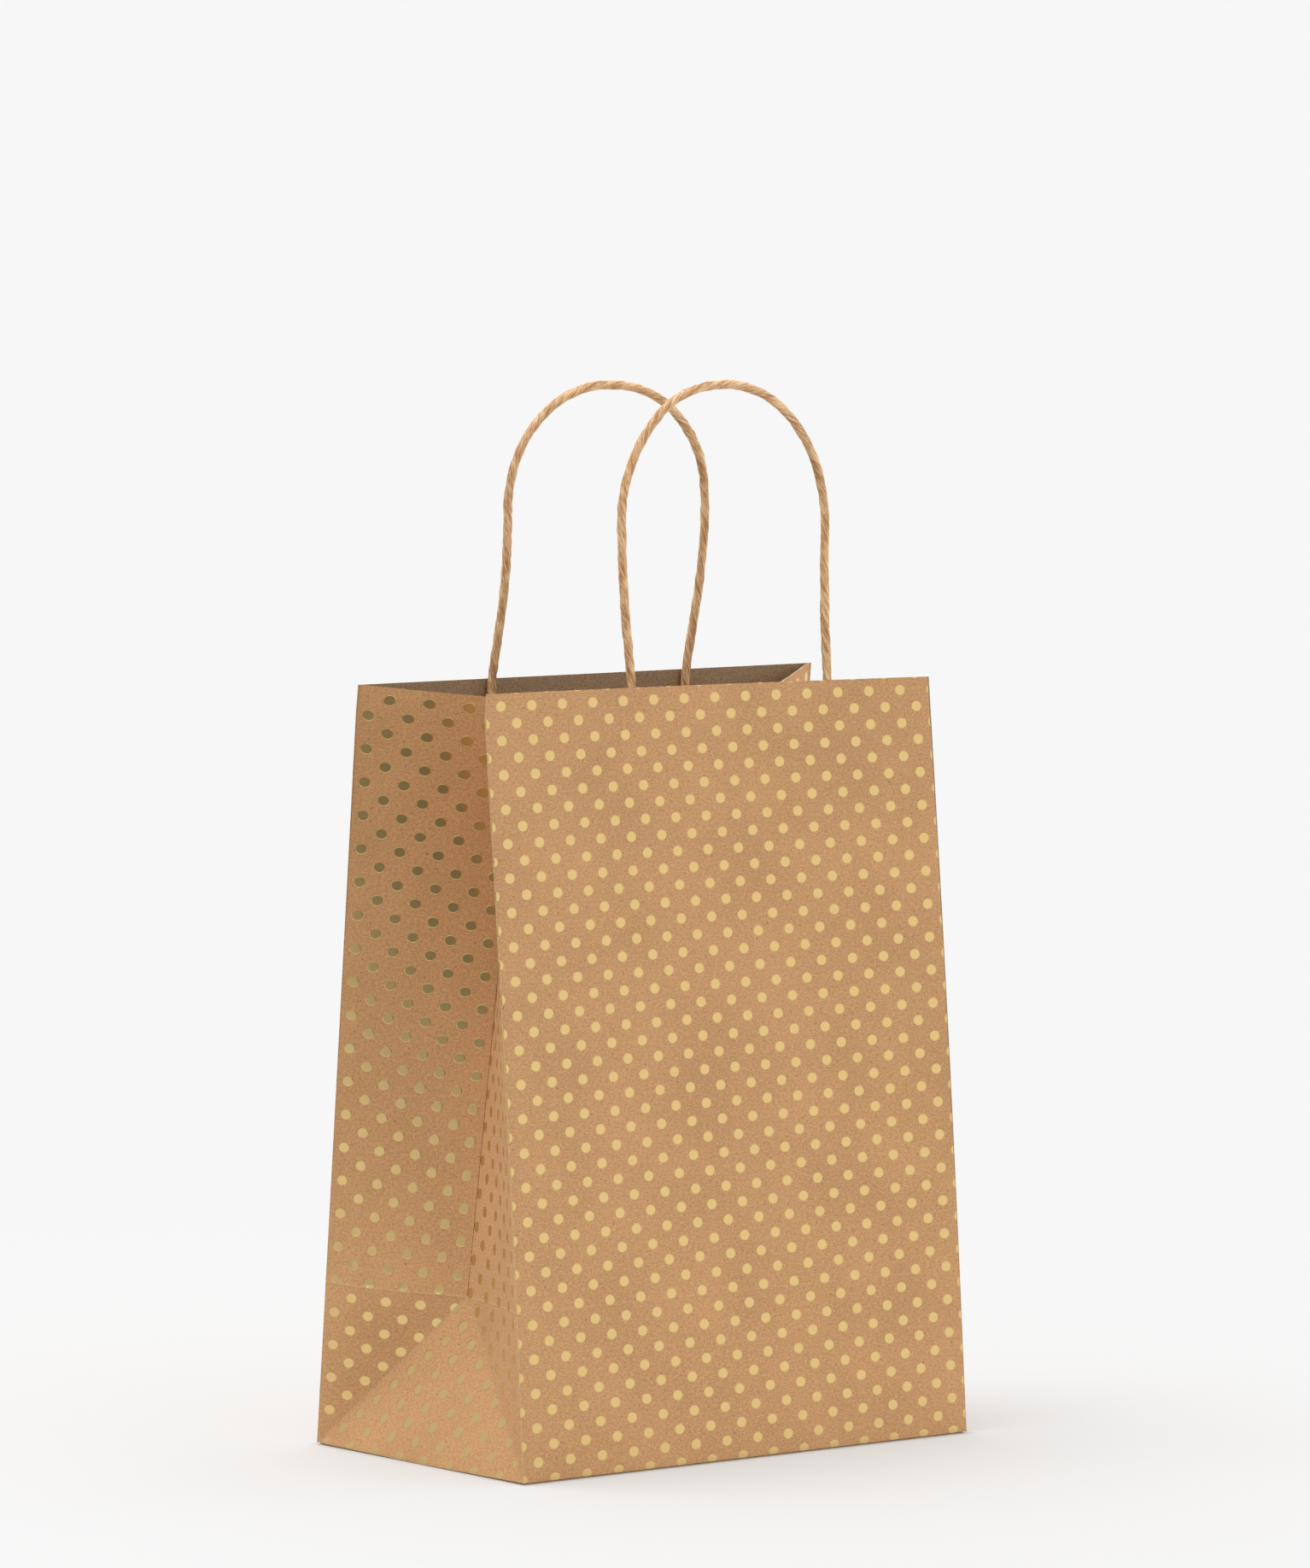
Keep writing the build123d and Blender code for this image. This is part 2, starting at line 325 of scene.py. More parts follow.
def middle_shift(side):
    """How far the rim end of a gusset's middle crease moves when neither half may stretch."""
    corners = np.concatenate([mirror_points(RIM[None], side, face) for face in ("front", "rear")])
    corners = settle(corners)
    half = (corners[1] - corners[0]) / 2
    drop = RIM[2] - RIM_MIDDLE[2]
    reach = math.sqrt(HALF_DEPTH ** 2 - half @ half - drop ** 2)
    inward = np.array([half[1], -half[0], 0]) / math.hypot(half[0], half[1])
    if side == "right":
        inward = -inward
    middle = corners.mean(axis=0) + inward * reach - np.array([0, 0, drop])
    return middle - mirror_points(RIM_MIDDLE[None], side, "front")[0]


def settle_gusset(points, share, height, side, face):
    """Moves gusset points with the panel's fold at one side and the middle crease at the other."""
    edge = mirror_points(FOOT + np.outer(height, WALL_UP), side, face)
    with_edge = settle(edge) - edge
    with_middle = np.outer(height / HEIGHT, middle_shift(side))
    if face == "rear":
        with_middle[:, 1] += CREASE_ROOM * share ** 8
    return points + (1 - share)[:, None] * with_edge + share[:, None] * with_middle


def crease_push(share, height):
    """How far the crease at half depth stands out of a gusset's rear half, and the paper round it."""
    slant = share * HALF_DEPTH
    below = (height - slant) / np.maximum(HALF_DEPTH - slant, 1e-5)
    above = np.clip(1 - (height - HALF_DEPTH) / CREASE_REACH, 0, 1) ** 2
    ramp = np.where(height < HALF_DEPTH, np.clip(below, 0, 1), above)
    return CREASE_PUSH * ramp * np.minimum(1, 5 * share) * np.minimum(1, 2.2 * (1 - share))


def corner_bend(share, height):
    """How far the rim's rear corner is bent in above a line that slants up from the fold."""
    line = HEIGHT - CORNER_BEND * np.clip(1 - share / 0.55, 0, 1)
    return CORNER_BEND_SLOPE * np.clip(height - line, 0, None) * np.minimum(1, share / 0.08)


def gusset_half(side, face, seed, materials):
    """Half of a side gusset: a sheet between the slanted crease and the rim, twisted as it rises.
    Its rows meet at the crease at half depth, where the flat bag's bottom folds up."""
    across = steps(40)
    lower, upper = steps(24), steps(84)
    share, row = grid(across, np.arange(len(lower) + len(upper) - 1))
    distance = share * HALF_DEPTH
    row = row.astype(int)
    in_lower = row < len(lower)
    low_part = lower[np.minimum(row, len(lower) - 1)]
    high_part = upper[np.clip(row - len(lower) + 1, 0, len(upper) - 1)]
    height = np.where(in_lower, distance + low_part * (HALF_DEPTH - distance),
                      HALF_DEPTH + high_part * (HEIGHT - HALF_DEPTH))
    b = (height - distance) / (HEIGHT - distance)
    low = FOOT + np.outer(share, LIFTED_APEX - FOOT)
    top = RIM + np.outer(share, RIM_MIDDLE - RIM)
    outside = low + (top - low) * b[:, None]
    outside += np.outer(rounded(distance), [1, 1, 0]) / math.sqrt(2)
    flat = gusset_flat(side, face, distance, height)
    depth = ripple(flat, seed, 0.3 * MM) * fade_at_edges(share, b)
    if face == "rear":
        depth += crease_push(share, height) - corner_bend(share, height)
        depth += GUSSET_BULGE * 4 * share * (1 - share) * np.sin(math.pi * b)
    outside += np.outer(depth, [-0.75, 0.65, 0])
    points = settle_gusset(mirror_points(outside, side, face), share, height, side, face)
    outward = mirror_points(np.array([[-1.0, 0.7, 0]]), side, face)[0]
    name = f"{side}_gusset_{face}_paper"
    rows = len(lower) + len(upper) - 1
    return paper_sheet(name, points, flat, outward, rows, len(across), materials)


def base_triangle(side, seed, materials):
    """A gusset's foot: the triangle between the floor and the two slanted creases."""
    along, up = steps(48), steps(32)
    a, b = grid(along, up)
    reach = np.minimum(a, 1 - a) * DEPTH
    height = b * reach
    y = (2 * a - 1) * HALF_DEPTH
    lean = LIFTED_APEX - np.array([-HALF_WIDTH, 0, 0])
    outside = np.stack([np.full_like(y, -HALF_WIDTH), y, np.zeros_like(y)], axis=-1)
    outside += np.outer(height / HALF_DEPTH, lean)
    outside += np.outer(rounded(height), [1, 0, 1]) / math.sqrt(2)
    s = -(y + HALF_DEPTH) if side == "left" else WIDTH + y + HALF_DEPTH
    flat = np.stack([s, height], axis=-1)
    depth = ripple(flat, seed, 0.25 * MM) * fade_at_edges(a, b) * np.minimum(1, reach / (20 * MM))
    outside += np.outer(depth, [-1, 0, 0.4])
    placed = mirror_points(outside, side, "front")
    share = reach / HALF_DEPTH
    fronts = settle_gusset(placed, share, height, side, "front")
    rears = settle_gusset(placed, share, height, side, "rear")
    points = np.where((y < 0)[:, None], fronts, rears)
    outward = mirror_points(np.array([[-1.0, 0, 0.4]]), side, "front")[0]
    name = f"{side}_base_triangle_paper"
    return paper_sheet(name, points, flat, outward, len(up), len(along), materials, cut="none")


def floor_sheet(node, narrow_end, materials):
    """A sheet lying in the bottom, in the box of its CAD solid. Towards narrow_end each side closes
    in by half of the sheet's length. Both run straight if that is None."""
    low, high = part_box(node)
    along, across = steps(24), steps(16)
    a, b = grid(along, across)
    x = low[0] + a * (high[0] - low[0])
    share = {None: 0 * a, "right": a, "left": 1 - a}[narrow_end]
    cut = (high[0] - low[0]) / 2 * share
    near, far = low[1] + cut, high[1] - cut
    y = near + b * (far - near)
    z = np.full_like(x, low[2])
    flat = np.stack([x + HALF_WIDTH, -(y + HALF_DEPTH)], axis=-1)
    points = np.stack([x, y, z], axis=-1)
    return paper_sheet(f"{node}_paper", points, flat, (0, 0, -1), len(across), len(along), materials,
                       cut="all")


def wall_point(x, up, out):
    """A point by its place on the front wall: along its width, up the paper and out of the bag."""
    base = np.array([0, -HALF_DEPTH, 0])
    return base + np.outer(x, [1, 0, 0]) + np.outer(up, WALL_UP) + np.outer(out, WALL_OUT)



def patch(face, layer, centre, legs, materials):
    """One layer of the paper patch. The inner layer is wrapped over the cord's two ends."""
    across, up = np.linspace(0, 1, 181), steps(20)
    a, b = grid(across, up)
    x = centre + (a - 0.5) * PATCH_WIDTH
    height = PATCH_TOP - PATCH_HEIGHT + b * PATCH_HEIGHT
    out = np.full_like(x, -PAPER - GLUE_GAP)
    if layer == "inner":
        lift = np.zeros_like(x)
        for leg in legs:
            gap = np.abs(x - leg)
            over = np.sqrt(np.clip((CORD_RADIUS + PAPER) ** 2 - gap ** 2, 0, None)) + CORD_RADIUS
            skirt = 1.1 * CORD_RADIUS * np.exp(-((gap - CORD_RADIUS) / (0.9 * MM)).clip(0) ** 1.5)
            lift = np.maximum(lift, np.where(gap < CORD_RADIUS + 0.5 * PAPER, over, skirt))
        out = out - PAPER - GLUE_GAP - lift
    crumple = ripple(np.stack([x, height], axis=-1), 60 + len(layer) + len(face), 0.12 * MM)
    out = out - np.abs(crumple) * (layer == "inner") + panel_ripple(face, x, height)
    points = settle(mirror_points(wall_point(x, height, out), "left", face))
    flat = np.stack([x + 2 * WIDTH, height], axis=-1)
    inward = mirror_points(-WALL_OUT[None], "left", face)[0]
    name = f"{face}_patch_{layer}_paper"
    return paper_sheet(name, points, flat, -inward, len(up), len(across), materials, cut="all")


def seam_flap(materials):
    """The glued flap inside the back panel that closes the tube of the bag."""
    low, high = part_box("side_seam_flap")
    across, up = steps(10), steps(60)
    a, b = grid(across, up)
    x = low[0] + a * (high[0] - low[0])
    height = (low[2] + b * (high[2] - low[2])) / math.cos(LEAN)
    out = panel_ripple("rear", x, height) - PAPER - GLUE_GAP
    points = settle(mirror_points(wall_point(x, height, out), "left", "rear"))
    flat = np.stack([x + 3 * WIDTH, height], axis=-1)
    outward = mirror_points(WALL_OUT[None], "left", "rear")[0]
    name = "side_seam_flap_paper"
    return paper_sheet(name, points, flat, outward, len(up), len(across), materials, cut="all")


# ---- handles --------------------------------------------------------------------------------------------
# Control points of each free arch in its own plane, in millimetres: along the bag's width, and up
# from the pivot. Each is exit, leg, shoulder and half the top, and then the same down the other side.
FRONT_ARCH = [(-29, 0), (-31.5, 30), (-31.5, 64), (-8, 91), (29, 91.5), (52, 65), (50, 25), (50.5, 0)]
BACK_ARCH = [(-43, 0), (-40, 32), (-43.5, 68), (-22, 90.5), (12, 90), (35, 69), (38, 36), (34, 0)]
FRONT_HANDLE_LEAN = math.radians(3)
BACK_HANDLE_LEAN = math.radians(6)


def smooth_route(name, points):
    """Points read from a NURBS spline through the route's control points."""
    curve = bpy.data.curves.new(name + "_route", "CURVE")
    curve.dimensions = "3D"
    spline = curve.splines.new("NURBS")
    spline.points.add(len(points) - 1)
    for place, point in zip(spline.points, points):
        place.co = (*point, 1)
    spline.order_u = 3
    spline.use_endpoint_u = True
    spline.resolution_u = 24
    holder = add_object(name + "_route", curve)
    mesh = bpy.data.meshes.new_from_object(holder)
    read = np.array([vertex.co[:] for vertex in mesh.vertices])
    bpy.data.objects.remove(holder)
    bpy.data.curves.remove(curve)
    bpy.data.meshes.remove(mesh)
    return read


def even_points(points, spacing):
    """The same line with evenly spaced points."""
    lengths = np.concatenate([[0], np.cumsum(np.linalg.norm(np.diff(points, axis=0), axis=1))])
    places = np.linspace(0, lengths[-1], int(lengths[-1] / spacing))
    return np.stack([np.interp(places, lengths, points[:, k]) for k in range(3)], axis=-1), places


def carried_frames(path):
    """Two directions across the path at each point, carried along it without twisting."""
    tangents = np.gradient(path, axis=0)
    tangents /= np.linalg.norm(tangents, axis=1)[:, None]
    side = np.cross(tangents[0], [0, 1, 0])
    side /= np.linalg.norm(side)
    sides = []
    for tangent in tangents:
        side = side - tangent * (side @ tangent)
        side /= np.linalg.norm(side)
        sides.append(side)
    sides = np.array(sides)
    return sides, np.cross(tangents, sides)


def slow_noise(random, places, reach):
    """A smooth random line, about 1 high, that changes over the given reach."""
    knots = np.arange(places[0] - reach, places[-1] + 3 * reach, reach)
    values = random.normal(0, 1, len(knots))
    share = (places - knots[0]) / reach
    index = np.clip(share.astype(int), 0, len(knots) - 2)
    blend = smooth(share - index)
    return values[index] * (1 - blend) + values[index + 1] * blend


def twisted_profile(turn, places, random):
    """How far the twisted paper stands out of or into the cord, at an angle round the twist."""
    depth = np.zeros_like(turn)
    for wave in range(1, 12):
        size = 0.05 * MM * wave ** -0.45
        cosine = slow_noise(random, places, 11 * MM)[:, None] * np.cos(wave * turn)
        sine = slow_noise(random, places, 11 * MM)[:, None] * np.sin(wave * turn)
        depth += size * (cosine + sine)
    groove_place = 0.5 * slow_noise(random, places, 40 * MM)[:, None]
    for start, size in ((0.3, 0.24), (2.5, 0.15), (4.3, 0.20)):
        away = np.angle(np.exp(1j * (turn - start - groove_place)))
        strength = (0.65 + 0.35 * slow_noise(random, places, 14 * MM))[:, None]
        depth -= size * MM * strength * np.exp(-(away / 0.16) ** 2)
        depth += 0.4 * size * MM * strength * np.exp(-((away - 0.36) / 0.22) ** 2)
    return depth


def cord_mesh(name, route, seed, material):
    random = np.random.default_rng(seed)
    path, places = even_points(smooth_route(name, route), 0.45 * MM)
    sides, others = carried_frames(path)
    around = 44
    angle = np.linspace(0, 2 * math.pi, around, endpoint=False)[None, :] + 0 * places[:, None]
    wander = 0.35 * slow_noise(random, places, 30 * MM)
    turn = angle + (2 * math.pi * places / TWIST_PITCH + wander)[:, None]
    thick = 0.96 * CORD_RADIUS * (1 + 0.03 * slow_noise(random, places, 14 * MM))[:, None]
    radius = thick + twisted_profile(turn, places, random)
    ring = np.cos(angle)[..., None] * sides[:, None, :] + np.sin(angle)[..., None] * others[:, None, :]
    points = (path[:, None, :] + radius[..., None] * ring).reshape(-1, 3)
    rows = len(path)
    index = np.arange(rows * around).reshape(rows, around)
    beside = np.roll(index, -1, axis=1)
    faces = np.stack([index[:-1], beside[:-1], beside[1:], index[1:]], axis=-1).reshape(-1, 4)
    mesh = bpy.data.meshes.new(name)
    ends = [index[0, ::-1].tolist(), index[-1].tolist()]
    mesh.from_pydata(points.tolist(), [], faces.tolist() + ends)
    layer = mesh.uv_layers.new(name="cord")
    corners = np.empty(len(mesh.loops), dtype=np.int32)
    mesh.loops.foreach_get("vertex_index", corners)
    row, column = corners // around, corners % around
    start = np.repeat(np.arange(len(mesh.polygons)), [len(p.vertices) for p in mesh.polygons])
    wraps = (start < len(faces)) & (start % around == around - 1) & (column == 0)
    column = column + around * wraps
    twist = 2 * math.pi * places / TWIST_PITCH + wander
    u = (column / around + twist[row] / (2 * math.pi)) * 2 * math.pi * CORD_RADIUS
    layer.data.foreach_set("uv", np.stack([u, places[row]], axis=-1).astype(np.float32).ravel())
    mesh.materials.append(material)
    mesh.shade_smooth()
    mesh.set_sharp_from_angle(angle=math.radians(60))
    return add_object(name, mesh)


def handle_route(face, arch, lean):
    """Control points of a whole cord: up its glued end, round the free arch, and down the other end."""
    pivot = np.array([0, -PIVOT_Y, PIVOT_Z])
    tilt = np.array([0, math.sin(lean), math.cos(lean)])
    free = [pivot + np.array([x * MM, 0, 0]) + tilt * up * MM for x, up in arch]
    if face == "rear":
        free = [point + np.array([BACK_SLIP, 0, 0]) for point in free]
    free_points = np.array(free)
    left, right = free_points[0][0], free_points[-1][0]
    glued = []
    for x, drift in ((left, -1), (right, 1)):
        drop = np.array([GLUED_LENGTH, 0.66 * GLUED_LENGTH, 0.33 * GLUED_LENGTH, 2.5 * MM])
        place = x - drift * 0.02 * drop
        glued.append(wall_point(place, HEIGHT - drop, np.full(4, -CORD_OFFSET)))
    whole = np.concatenate([glued[0], free_points, glued[1][::-1]])
    return settle(mirror_points(whole, "left", face))


# ---- shader building ----------------------------------------------------------------------------------
class Graph:
    """Short calls for building a node tree."""

    def __init__(self, tree):
        self.tree = tree

    def node(self, kind, inputs=(), **settings):
        made = self.tree.nodes.new(kind)
        for key, value in settings.items():
            setattr(made, key, value)
        for key, value in dict(inputs).items():
            self.feed(made.inputs[key], value)
        return made

    def feed(self, socket, value):
        if isinstance(value, bpy.types.NodeSocket):
            self.tree.links.new(value, socket)
        else:
            socket.default_value = value

    def math(self, operation, *values):
        made = self.node("ShaderNodeMath", operation=operation)
        for index, value in enumerate(values):
            self.feed(made.inputs[index], value)
        return made.outputs[0]

    def vector(self, operation, *values):
        made = self.node("ShaderNodeVectorMath", operation=operation)
        for index, value in enumerate(values):
            self.feed(made.inputs[index], value)
        return made.outputs["Value" if operation == "LENGTH" else "Vector"]

    def uv(self, layer):
        return self.node("ShaderNodeUVMap", uv_map=layer).outputs[0]

    def noise(self, place, scale, detail=4.0, roughness=0.6, stretch=(1, 1, 1)):
        moved = self.vector("MULTIPLY", place, tuple(scale * each for each in stretch))
        inputs = {"Vector": moved, "Scale": 1.0, "Detail": detail, "Roughness": roughness}
        return self.node("ShaderNodeTexNoise", inputs).outputs["Fac"]

    def remap(self, value, low, high, to_low=0.0, to_high=1.0, kind="SMOOTHSTEP"):
        inputs = {0: value, 1: low, 2: high, 3: to_low, 4: to_high}
        return self.node("ShaderNodeMapRange", inputs, interpolation_type=kind).outputs[0]

    def mix(self, factor, first, second):
        made = self.node("ShaderNodeMix", data_type="RGBA")
        self.feed(made.inputs[0], factor)
        self.feed(made.inputs[6], first)
        self.feed(made.inputs[7], second)
        return made.outputs[2]

    def bump(self, height, distance, strength=1.0, normal=None):
        inputs = {"Strength": strength, "Distance": distance, "Height": height}
        made = self.node("ShaderNodeBump", inputs)
        if normal is not None:
            self.feed(made.inputs["Normal"], normal)
        return made.outputs[0]


class MaterialGraph(Graph):
    """The node tree of a new material, round its Principled shader."""

    def __init__(self, name):
        self.material = bpy.data.materials.new(name)
        self.material.use_nodes = True
        super().__init__(self.material.node_tree)
        self.shader = self.tree.nodes["Principled BSDF"]

    def finish(self, **values):
        for name, value in values.items():
            self.feed(self.shader.inputs[name.replace("_", " ")], value)
        return self.material


def kraft_colour(graph, place, light, dark, speck):
    """Kraft paper's fine grain, short fibres both ways, and a few dark and pale specks."""
    grain = graph.noise(place, 2400, detail=3, roughness=0.75)
    along = graph.noise(place, 2000, detail=2, roughness=0.6, stretch=(0.4, 1.0, 1))
    upright = graph.noise(place, 1800, detail=2, roughness=0.6, stretch=(1.0, 0.45, 1))
    cloud = graph.noise(place, 30, detail=2)
    tone = graph.math("ADD", graph.math("MULTIPLY", grain, 0.5), graph.math("MULTIPLY", along, 0.28))
    tone = graph.math("ADD", tone, graph.math("MULTIPLY", upright, 0.22))
    shade = graph.math("ADD", tone, graph.math("MULTIPLY", graph.math("SUBTRACT", cloud, 0.5), 0.12))
    colour = graph.mix(graph.remap(shade, 0.39, 0.61), dark, light)
    specks = graph.remap(graph.noise(place, 900, detail=1, roughness=0.5), 0.70, 0.75)
    colour = graph.mix(graph.math("MULTIPLY", specks, 0.6), colour, speck)
    moved = graph.vector("ADD", place, (3.1, 1.7, 0))
    pale = graph.remap(graph.noise(moved, 1300, detail=1, roughness=0.5), 0.72, 0.77)
    return graph.mix(graph.math("MULTIPLY", pale, 0.5), colour, PALE_FIBRE_AND_PAINTED_HIGHLIGHT), tone


def dot_distance(graph, place):
    """Distance from the nearest dot's middle, where 1 is its edge, and a number for that dot."""
    moved = graph.vector("SUBTRACT", place, (*DOT_ORIGIN, 0))
    cells = graph.vector("MULTIPLY", moved, (1 / DOT_PITCH[0], 1 / DOT_PITCH[1], 0))
    shape = (DOT_PITCH[0] / DOT_RADIUS[0], DOT_PITCH[1] / DOT_RADIUS[1], 0)
    found = []
    for shift in (0.5, 0.0):
        shifted = graph.vector("ADD", cells, (shift, shift, 0))
        part = graph.vector("SUBTRACT", graph.vector("FRACTION", shifted), (0.5, 0.5, 0))
        cell = graph.vector("ADD", graph.vector("FLOOR", shifted), (0, 0, 17 * shift))
        length = graph.vector("LENGTH", graph.vector("MULTIPLY", part, shape))
        number = graph.node("ShaderNodeTexWhiteNoise", {"Vector": cell}).outputs["Value"]
        found.append((length, number))
    nearer = graph.math("LESS_THAN", found[1][0], found[0][0])
    distance = graph.math("MINIMUM", found[0][0], found[1][0])
    other = graph.math("MULTIPLY", found[0][1], graph.math("SUBTRACT", 1.0, nearer))
    number = graph.math("ADD", other, graph.math("MULTIPLY", found[1][1], nearer))
    return distance, number


KRAFT_LIGHT = (0.77, 0.420, 0.185, 1)
KRAFT_DARK = (0.48, 0.260, 0.110, 1)
KRAFT_SPECK = (0.22, 0.11, 0.05, 1)
# Pale fibres in the grain; the same colour also paints a highlight along the folds.
PALE_FIBRE_AND_PAINTED_HIGHLIGHT = (0.86, 0.60, 0.36, 1)
INSIDE_LIGHT = (0.59, 0.395, 0.235, 1)
INSIDE_DARK = (0.29, 0.195, 0.115, 1)
CUT_LIGHT = (0.86, 0.64, 0.42, 1)
CUT_DARK = (0.66, 0.45, 0.27, 1)
FOIL_GOLD = (0.78, 0.545, 0.235, 1)
FOIL_RIM = (0.50, 0.36, 0.09, 1)
CORD_DARK = (0.50, 0.235, 0.085, 1)
CORD_LIGHT = (1.0, 0.66, 0.35, 1)
# Colour of the painted glints of highlight on the cord.
CORD_PAINTED_GLINT = (1.0, 0.84, 0.60, 1)


def crease_wear_and_painted_highlight_lines(graph, place):
    """Where the flat sheet was folded: 1 on a fold line and 0 a little beside it. The pale line it gives is
    partly worn fibres and partly a painted highlight along the fold.
    """
    split = graph.node("ShaderNodeSeparateXYZ", {"Vector": place})
    s, t = split.outputs["X"], split.outputs["Y"]
    left = graph.math("ABSOLUTE", graph.math("ADD", s, HALF_DEPTH))
    right = graph.math("ABSOLUTE", graph.math("SUBTRACT", s, WIDTH + HALF_DEPTH))
    inside = graph.math("SUBTRACT", HALF_DEPTH, graph.math("MINIMUM", left, right))
    on_gusset = graph.math("GREATER_THAN", inside, 0.0)
    strength = graph.math("ADD", 0.22, graph.math("MULTIPLY", on_gusset, 0.78))
    wander = graph.math("MULTIPLY", graph.math("SUBTRACT", graph.noise(place, 260, detail=2), 0.5), 0.7 * MM)
    level = graph.math("ABSOLUTE", graph.math("SUBTRACT", graph.math("ADD", t, wander), HALF_DEPTH))
    level_line = graph.math("MULTIPLY", graph.remap(level, 0.10 * MM, 0.55 * MM, 1.0, 0.0), strength)
    slant = graph.math("ABSOLUTE", graph.math("SUBTRACT", t, inside))
    slant_line = graph.remap(slant, 0.10 * MM, 0.50 * MM, 1.0, 0.0)
    slant_line = graph.math("MULTIPLY", slant_line, graph.math("MULTIPLY", on_gusset, 0.7))
    upright = graph.math("ABSOLUTE", inside)
    upright_line = graph.remap(upright, 0.12 * MM, 0.50 * MM, 1.0, 0.0)
    worn = graph.remap(graph.noise(place, 420, detail=3, roughness=0.7), 0.38, 0.60, 0.35, 1.0)
    lines = graph.math("MAXIMUM", level_line, graph.math("MAXIMUM", slant_line, upright_line))
    return graph.math("MULTIPLY", lines, worn)


def printed_kraft():
    """Kraft paper with staggered gold foil dots, stamped a little into it."""
    graph = MaterialGraph("printed_kraft")
    place = graph.uv("paper")
    paper, tone = kraft_colour(graph, place, KRAFT_LIGHT, KRAFT_DARK, KRAFT_SPECK)
    distance, number = dot_distance(graph, place)
    ragged = graph.math("MULTIPLY", graph.math("SUBTRACT", graph.noise(place, 2200, detail=1), 0.5), 0.12)
    edge = graph.math("ADD", distance, ragged)
    dot = graph.remap(edge, 0.97, 1.03, 1.0, 0.0)
    worn = graph.remap(number, 0.80, 1.0)
    pits = graph.remap(graph.noise(place, 2600, detail=2, roughness=0.7), 0.60, 0.68)
    foil = graph.math("MULTIPLY", dot, graph.math("SUBTRACT", 1.0, graph.math("MULTIPLY", pits, worn)))
    crease = crease_wear_and_painted_highlight_lines(graph, place)
    # Painted highlight along the folds, partly worn pale fibres: the paper pales where the crease mask is 1.
    paper = graph.mix(graph.math("MULTIPLY", crease, 0.40), paper, PALE_FIBRE_AND_PAINTED_HIGHLIGHT)
    rim = graph.math("MULTIPLY", graph.remap(edge, 0.84, 0.95), 0.4)
    colour = graph.mix(foil, paper, graph.mix(rim, FOIL_GOLD, FOIL_RIM))
    rough = graph.remap(foil, 0.0, 1.0, 0.78, 0.30, kind="LINEAR")
    stamp = graph.remap(distance, 0.84, 1.06, 1.0, 0.0)
    relief = graph.bump(stamp, 0.08 * MM, normal=graph.bump(crease, 0.22 * MM))
    grain = graph.bump(tone, 0.10 * MM, 0.35, relief)
    return graph.finish(Base_Color=colour, Metallic=foil, Roughness=rough, Normal=grain)


def plain_kraft(name, light, dark):
    """Kraft paper without print."""
    graph = MaterialGraph(name)
    place = graph.uv("paper")
    colour, tone = kraft_colour(graph, place, light, dark, KRAFT_SPECK)
    grain = graph.bump(tone, 0.10 * MM, 0.5)
    graph.shader.inputs["Roughness"].default_value = 0.85
    return graph.finish(Base_Color=colour, Normal=grain)


def twisted_paper():
    """Twisted kraft: streaks of fibre along the twist in tones that vary at random, with small painted glints
    of highlight.
    """
    graph = MaterialGraph("twisted_paper")
    place = graph.uv("cord")
    streak = graph.noise(place, 2200, detail=3, roughness=0.7, stretch=(1, 0.09, 1))
    patchy = graph.noise(place, 260, detail=3, stretch=(1, 0.3, 1))
    tone = graph.math("ADD", graph.math("MULTIPLY", streak, 0.65), graph.math("MULTIPLY", patchy, 0.35))
    colour = graph.mix(graph.remap(tone, 0.41, 0.59), CORD_DARK, CORD_LIGHT)
    # Painted highlight: small random specks are lifted to the pale glint colour.
    painted_glint = graph.remap(graph.noise(place, 1500, detail=1, stretch=(1, 0.14, 1)), 0.62, 0.69)
    colour = graph.mix(graph.math("MULTIPLY", painted_glint, 0.6), colour, CORD_PAINTED_GLINT)
    grain = graph.bump(tone, 0.22 * MM, 0.9)
    graph.shader.inputs["Roughness"].default_value = 0.6
    return graph.finish(Base_Color=colour, Normal=grain)


# ---- the bag ------------------------------------------------------------------------------------------
def stand_for(node):
    """Hides a CAD node, whose place a new piece takes."""
    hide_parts(node)


def build_panels(printed_stack):
    """Front and back panels, each on its own body."""
    for face, body in (("front", "front"), ("rear", "back")):
        piece = panel(face, printed_stack)
        stand_for(f"{body}_panel")
        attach(piece, body)


def build_gussets(printed_stack):
    """Gusset halves, and their feet, each foot on its own body."""
    for side in ("left", "right"):
        for face, body in (("front", "front"), ("rear", "back")):
            node = f"{side}_gusset_{face}"
            piece = gusset_half(side, face, 10 + len(node), printed_stack)
            stand_for(node)
            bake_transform(piece)
        triangle = base_triangle(side, 20 + len(side), printed_stack)
        stand_for(f"{side}_base_triangle")
        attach(triangle, f"{side}_triangle")


def build_bottom(printed_stack, plain_stack):
    """The two long flaps, and the two tucks, which narrow towards the bag's middle."""
    made = {
        "front_bottom_flap": floor_sheet("front_bottom_flap", None, printed_stack),
        "back_bottom_flap": floor_sheet("back_bottom_flap", None, printed_stack),
        "left_bottom_tuck": floor_sheet("left_bottom_tuck", "right", plain_stack),
        "right_bottom_tuck": floor_sheet("right_bottom_tuck", "left", plain_stack),
    }
    for node, piece in made.items():
        stand_for(node)
        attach(piece, "base")


def build_handle(face, body, arch, lean, seed, cord, patch_stack):
    """A cord, and its two patch layers, which ride on the panel."""
    route = handle_route(face, arch, lean)
    piece = cord_mesh(f"{body}_handle_cord", route, seed, cord)
    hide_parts(f"{body}_handle", f"{body}_handle_ends")
    legs = (arch[0][0] * MM, arch[-1][0] * MM)
    if face == "rear":
        legs = (legs[0] + BACK_SLIP, legs[1] + BACK_SLIP)
    for layer in ("outer", "inner"):
        sheet = patch(face, layer, sum(legs) / 2, legs, patch_stack)
        stand_for(f"{body}_patch_{layer}")
        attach(sheet, body)
    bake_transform(piece)


